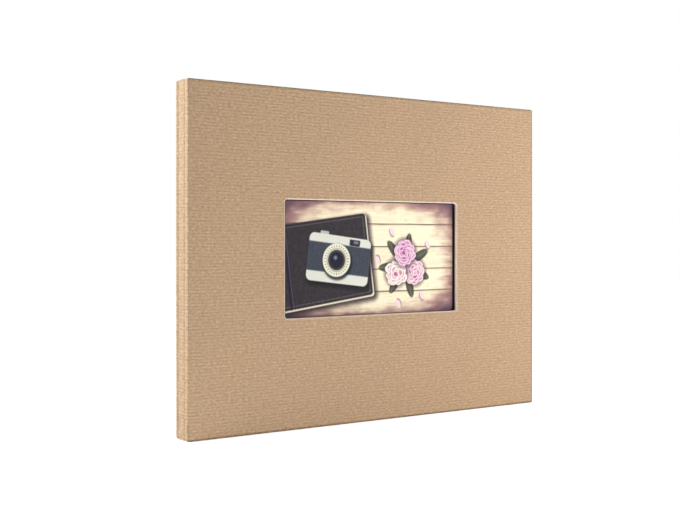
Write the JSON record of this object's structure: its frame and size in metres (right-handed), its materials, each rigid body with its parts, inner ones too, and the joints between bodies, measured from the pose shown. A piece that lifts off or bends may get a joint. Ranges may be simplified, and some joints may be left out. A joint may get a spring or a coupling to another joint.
{
  "type": "scrapbook album",
  "caption": "Landscape scrapbook album: kraft-paper case with a square spine, hinged covers and leaves, and a slide-in picture behind a window in the front cover.",
  "frame": {"origin": "middle of the closed album's footprint, on the surface that its tail edge stands on", "axes": "+X from the spine to the fore edge, +Y from the front cover to the back cover, +Z from the tail to the head"},
  "size_m": [0.3, 0.0172, 0.23],
  "materials": {
    "ribbed_kraft_paper": "fine-ribbed kraft paper, matt",
    "greyboard": "dense greyboard, matt",
    "endpaper": "smooth kraft endpaper, matt",
    "hinge_cloth": "thin unbleached binding cloth",
    "end_band_cloth": "striped woven band",
    "stub_card": "black card, matt",
    "leaf_card": "black card, matt",
    "white_card": "off-white card, matt",
    "picture_print": "printed still life, satin"
  },
  "bodies": {
    "spine": {"spine_paper": "ribbed_kraft_paper", "spine_board": "greyboard", "spine_lining": "hinge_cloth", "front_joint_cloth": "hinge_cloth", "back_joint_cloth": "hinge_cloth", "head_band": "end_band_cloth", "tail_band": "end_band_cloth", "stub_01": "stub_card", "stub_02": "stub_card", "stub_03": "stub_card", "stub_04": "stub_card", "stub_05": "stub_card", "stub_06": "stub_card", "stub_07": "stub_card", "stub_08": "stub_card", "stub_09": "stub_card", "stub_10": "stub_card", "stub_11": "stub_card", "stub_12": "stub_card"},
    "front_cover": {"front_cover_paper": "ribbed_kraft_paper", "front_cover_board": "greyboard", "front_joint_flange": "hinge_cloth", "picture_pocket_frame": "greyboard", "front_pastedown": "endpaper"},
    "back_cover": {"back_cover_paper": "ribbed_kraft_paper", "back_cover_board": "greyboard", "back_joint_flange": "hinge_cloth", "back_pastedown": "endpaper"},
    "picture": {"picture_print": "picture_print", "picture_mount_card": "white_card"},
    "front_flyleaf_body": {"front_flyleaf": "endpaper"},
    "leaf_01_body": {"leaf_01": "leaf_card"},
    "leaf_02_body": {"leaf_02": "leaf_card"},
    "leaf_03_body": {"leaf_03": "leaf_card"},
    "leaf_04_body": {"leaf_04": "leaf_card"},
    "leaf_05_body": {"leaf_05": "leaf_card"},
    "leaf_06_body": {"leaf_06": "leaf_card"},
    "leaf_07_body": {"leaf_07": "leaf_card"},
    "leaf_08_body": {"leaf_08": "leaf_card"},
    "leaf_09_body": {"leaf_09": "leaf_card"},
    "leaf_10_body": {"leaf_10": "leaf_card"},
    "back_flyleaf_body": {"back_flyleaf": "endpaper"}
  },
  "joints": [
    {"name": "front_cover_hinge", "type": "hinge", "parent": "spine", "child": "front_cover", "pos_m": [-0.1503, -0.00337, 0.115], "axis": [0, 0, -1], "range_deg": [0, 180]},
    {"name": "back_cover_hinge", "type": "hinge", "parent": "spine", "child": "back_cover", "pos_m": [-0.1503, 0.00533, 0.115], "axis": [0, 0, 1], "range_deg": [0, 180]},
    {"name": "picture_slide", "type": "slide", "parent": "front_cover", "child": "picture", "axis": [0, 0, 1], "range_m": [0, 0.165]},
    {"name": "front_flyleaf_hinge", "type": "hinge", "parent": "spine", "child": "front_flyleaf_body", "pos_m": [-0.1361, -0.00342, 0.115], "axis": [0, 0, -1], "range_deg": [0, 166.17]},
    {"name": "leaf_01_hinge", "type": "hinge", "parent": "spine", "child": "leaf_01_body", "pos_m": [-0.1336, -0.00267, 0.115], "axis": [0, 0, -1], "range_deg": [0, 152.32]},
    {"name": "leaf_02_hinge", "type": "hinge", "parent": "spine", "child": "leaf_02_body", "pos_m": [-0.13199, -0.00192, 0.115], "axis": [0, 0, -1], "range_deg": [0, 138.48]},
    {"name": "leaf_03_hinge", "type": "hinge", "parent": "spine", "child": "leaf_03_body", "pos_m": [-0.13087, -0.00117, 0.115], "axis": [0, 0, -1], "range_deg": [0, 124.63]},
    {"name": "leaf_04_hinge", "type": "hinge", "parent": "spine", "child": "leaf_04_body", "pos_m": [-0.13005, -0.00042, 0.115], "axis": [0, 0, -1], "range_deg": [0, 110.78]},
    {"name": "leaf_05_hinge", "type": "hinge", "parent": "spine", "child": "leaf_05_body", "pos_m": [-0.12946, 0.00033, 0.115], "axis": [0, 0, -1], "range_deg": [0, 96.94]},
    {"name": "leaf_06_hinge", "type": "hinge", "parent": "spine", "child": "leaf_06_body", "pos_m": [-0.12904, 0.00108, 0.115], "axis": [0, 0, -1], "range_deg": [0, 83.09]},
    {"name": "leaf_07_hinge", "type": "hinge", "parent": "spine", "child": "leaf_07_body", "pos_m": [-0.12879, 0.00183, 0.115], "axis": [0, 0, -1], "range_deg": [0, 69.25]},
    {"name": "leaf_08_hinge", "type": "hinge", "parent": "spine", "child": "leaf_08_body", "pos_m": [-0.1287, 0.00258, 0.115], "axis": [0, 0, -1], "range_deg": [0, 55.4]},
    {"name": "leaf_09_hinge", "type": "hinge", "parent": "spine", "child": "leaf_09_body", "pos_m": [-0.1287, 0.00333, 0.115], "axis": [0, 0, -1], "range_deg": [0, 41.55]},
    {"name": "leaf_10_hinge", "type": "hinge", "parent": "spine", "child": "leaf_10_body", "pos_m": [-0.1287, 0.00408, 0.115], "axis": [0, 0, -1], "range_deg": [0, 27.71]},
    {"name": "back_flyleaf_hinge", "type": "hinge", "parent": "spine", "child": "back_flyleaf_body", "pos_m": [-0.1287, 0.00483, 0.115], "axis": [0, 0, -1], "range_deg": [0, 13.86]}
  ],
  "couplings": [
    {"joint": "front_flyleaf_hinge", "follows": "front_cover_hinge", "ratio": 0.92308},
    {"joint": "leaf_01_hinge", "follows": "front_cover_hinge", "ratio": 0.84615},
    {"joint": "leaf_02_hinge", "follows": "front_cover_hinge", "ratio": 0.76923},
    {"joint": "leaf_03_hinge", "follows": "front_cover_hinge", "ratio": 0.69231},
    {"joint": "leaf_04_hinge", "follows": "front_cover_hinge", "ratio": 0.61538},
    {"joint": "leaf_05_hinge", "follows": "front_cover_hinge", "ratio": 0.53846},
    {"joint": "leaf_06_hinge", "follows": "front_cover_hinge", "ratio": 0.46154},
    {"joint": "leaf_07_hinge", "follows": "front_cover_hinge", "ratio": 0.38461},
    {"joint": "leaf_08_hinge", "follows": "front_cover_hinge", "ratio": 0.30769},
    {"joint": "leaf_09_hinge", "follows": "front_cover_hinge", "ratio": 0.23077},
    {"joint": "leaf_10_hinge", "follows": "front_cover_hinge", "ratio": 0.15385},
    {"joint": "back_flyleaf_hinge", "follows": "front_cover_hinge", "ratio": 0.076923}
  ]
}
